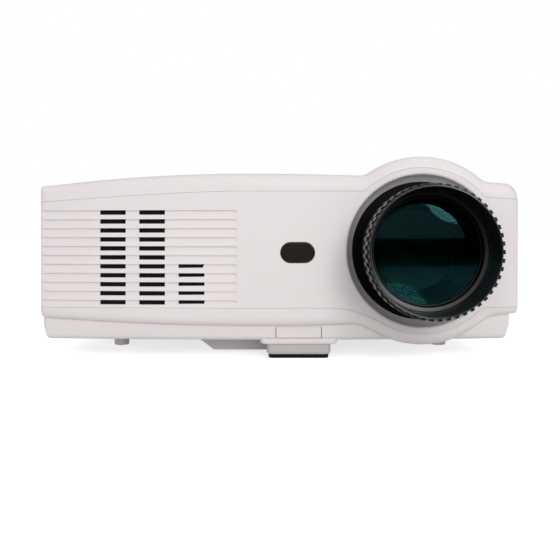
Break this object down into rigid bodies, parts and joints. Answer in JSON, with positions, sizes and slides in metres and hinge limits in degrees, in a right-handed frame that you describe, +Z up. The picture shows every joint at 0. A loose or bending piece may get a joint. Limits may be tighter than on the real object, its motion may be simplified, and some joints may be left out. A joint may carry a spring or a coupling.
{
  "type": "video projector",
  "caption": "White desktop video projector with a ridged, slotted front, a large hooded focus ring in a round recessed mouth, a humped cover over the lens and a drop-down front foot.",
  "frame": {"origin": "on the table under the middle of the box round the whole projector", "axes": "X to the right of someone facing the lens, Y from the front to the back, Z up"},
  "size_m": [0.32, 0.295, 0.1353],
  "materials": {
    "shell": "satin white moulded plastic",
    "lens_black": "satin black",
    "dark_plastic": "dull dark grey",
    "smoked_window": "smoked, polished",
    "coated_glass": "coated lens glass",
    "clear_glass": "clear",
    "mirror": "silvered",
    "steel": "plated",
    "aluminium": "extruded",
    "board": "green solder mask",
    "winding": "wound copper and core",
    "key": "grey, satin",
    "led": "yellow emitter on its plate",
    "rubber": "black, dull",
    "foot": "pale grey, dull"
  },
  "bodies": {
    "case": {"bottom_shell": "shell", "front_bezel": "shell", "top_cover": "shell", "rear_panel": "shell", "left_side_grille": "shell", "right_side_grille": "shell", "ir_window": "smoked_window", "ir_receiver": "dark_plastic", "lens_mount": "lens_black", "light_tunnel": "dark_plastic", "fold_mirror": "mirror", "lcd_panel": "dark_plastic", "field_fresnel": "clear_glass", "condenser_cone": "dark_plastic", "condenser_lens": "clear_glass", "led_module": "led", "led_heatsink": "aluminium", "front_fan_frame": "lens_black", "side_fan_frame": "lens_black", "power_board": "board", "power_transformer": "winding", "bulk_capacitor": "dark_plastic", "main_board": "board", "speaker": "dark_plastic", "control_panel": "dark_plastic", "keypad_board": "board", "hdmi_socket": "steel", "usb_socket": "steel", "vga_socket": "steel", "av_jack_block": "dark_plastic", "headphone_jack": "lens_black", "power_inlet": "lens_black", "front_left_foot": "foot", "front_right_foot": "foot", "rear_left_foot": "foot", "rear_right_foot": "foot", "filter_cover": "shell", "case_screw_1": "steel", "case_screw_2": "steel", "case_screw_3": "steel", "case_screw_4": "steel"},
    "focus": {"focus_ring": "lens_black"},
    "barrel": {"lens_barrel": "lens_black", "front_lens": "coated_glass", "lens_retaining_ring": "steel", "rear_lens": "clear_glass"},
    "leg": {"elevator_leg": "shell", "elevator_pad": "rubber"},
    "release": {"foot_release_button": "shell"},
    "rocker": {"power_switch": "lens_black"},
    "front_rotor": {"front_fan_rotor": "dark_plastic"},
    "side_rotor": {"side_fan_rotor": "dark_plastic"},
    "ok_key": {"ok_button": "key"},
    "up_key": {"up_button": "key"},
    "down_key": {"down_button": "key"},
    "left_key": {"left_button": "key"},
    "right_key": {"right_button": "key"},
    "power_key": {"power_button": "key"},
    "source_key": {"source_button": "key"},
    "menu_key": {"menu_button": "key"}
  },
  "joints": [
    {"name": "focus_turn", "type": "hinge", "parent": "case", "child": "focus", "pos_m": [0.0945, -0.12, 0.0725], "axis": [0, 1, 0], "range_deg": [0, 120]},
    {"name": "barrel_slide", "type": "slide", "parent": "case", "child": "barrel", "axis": [0, 1, 0], "range_m": [0, 0.0081]},
    {"name": "leg_drop", "type": "slide", "parent": "case", "child": "leg", "axis": [0, 0, -1], "range_m": [0, 0.03]},
    {"name": "release_push", "type": "slide", "parent": "case", "child": "release", "axis": [0, 1, 0], "range_m": [0, 0.002], "stiffness_N_per_m": 500, "springref_m": -0.0005},
    {"name": "rocker_tilt", "type": "hinge", "parent": "case", "child": "rocker", "pos_m": [-0.12, 0.1412, 0.0787], "axis": [1, 0, 0], "range_deg": [0, 18]},
    {"name": "front_fan_spin", "type": "hinge", "parent": "case", "child": "front_rotor", "pos_m": [-0.084, -0.0855, 0.067], "axis": [0, 1, 0], "continuous": true},
    {"name": "side_fan_spin", "type": "hinge", "parent": "case", "child": "side_rotor", "pos_m": [-0.1455, 0.0639, 0.0725], "axis": [1, 0, 0], "continuous": true},
    {"name": "ok_press", "type": "slide", "parent": "case", "child": "ok_key", "axis": [0, 0, -1], "range_m": [0, 0.0007], "stiffness_N_per_m": 400, "springref_m": -0.0003},
    {"name": "up_press", "type": "slide", "parent": "case", "child": "up_key", "axis": [0, 0, -1], "range_m": [0, 0.0007], "stiffness_N_per_m": 400, "springref_m": -0.0003},
    {"name": "down_press", "type": "slide", "parent": "case", "child": "down_key", "axis": [0, 0, -1], "range_m": [0, 0.0007], "stiffness_N_per_m": 400, "springref_m": -0.0003},
    {"name": "left_press", "type": "slide", "parent": "case", "child": "left_key", "axis": [0, 0, -1], "range_m": [0, 0.0007], "stiffness_N_per_m": 400, "springref_m": -0.0003},
    {"name": "right_press", "type": "slide", "parent": "case", "child": "right_key", "axis": [0, 0, -1], "range_m": [0, 0.0007], "stiffness_N_per_m": 400, "springref_m": -0.0003},
    {"name": "power_press", "type": "slide", "parent": "case", "child": "power_key", "axis": [0, 0, -1], "range_m": [0, 0.0007], "stiffness_N_per_m": 400, "springref_m": -0.0003},
    {"name": "source_press", "type": "slide", "parent": "case", "child": "source_key", "axis": [0, 0, -1], "range_m": [0, 0.0007], "stiffness_N_per_m": 400, "springref_m": -0.0003},
    {"name": "menu_press", "type": "slide", "parent": "case", "child": "menu_key", "axis": [0, 0, -1], "range_m": [0, 0.0007], "stiffness_N_per_m": 400, "springref_m": -0.0003}
  ],
  "couplings": [
    {"joint": "barrel_slide", "follows": "focus_turn", "m_per_rad": 0.00382}
  ]
}
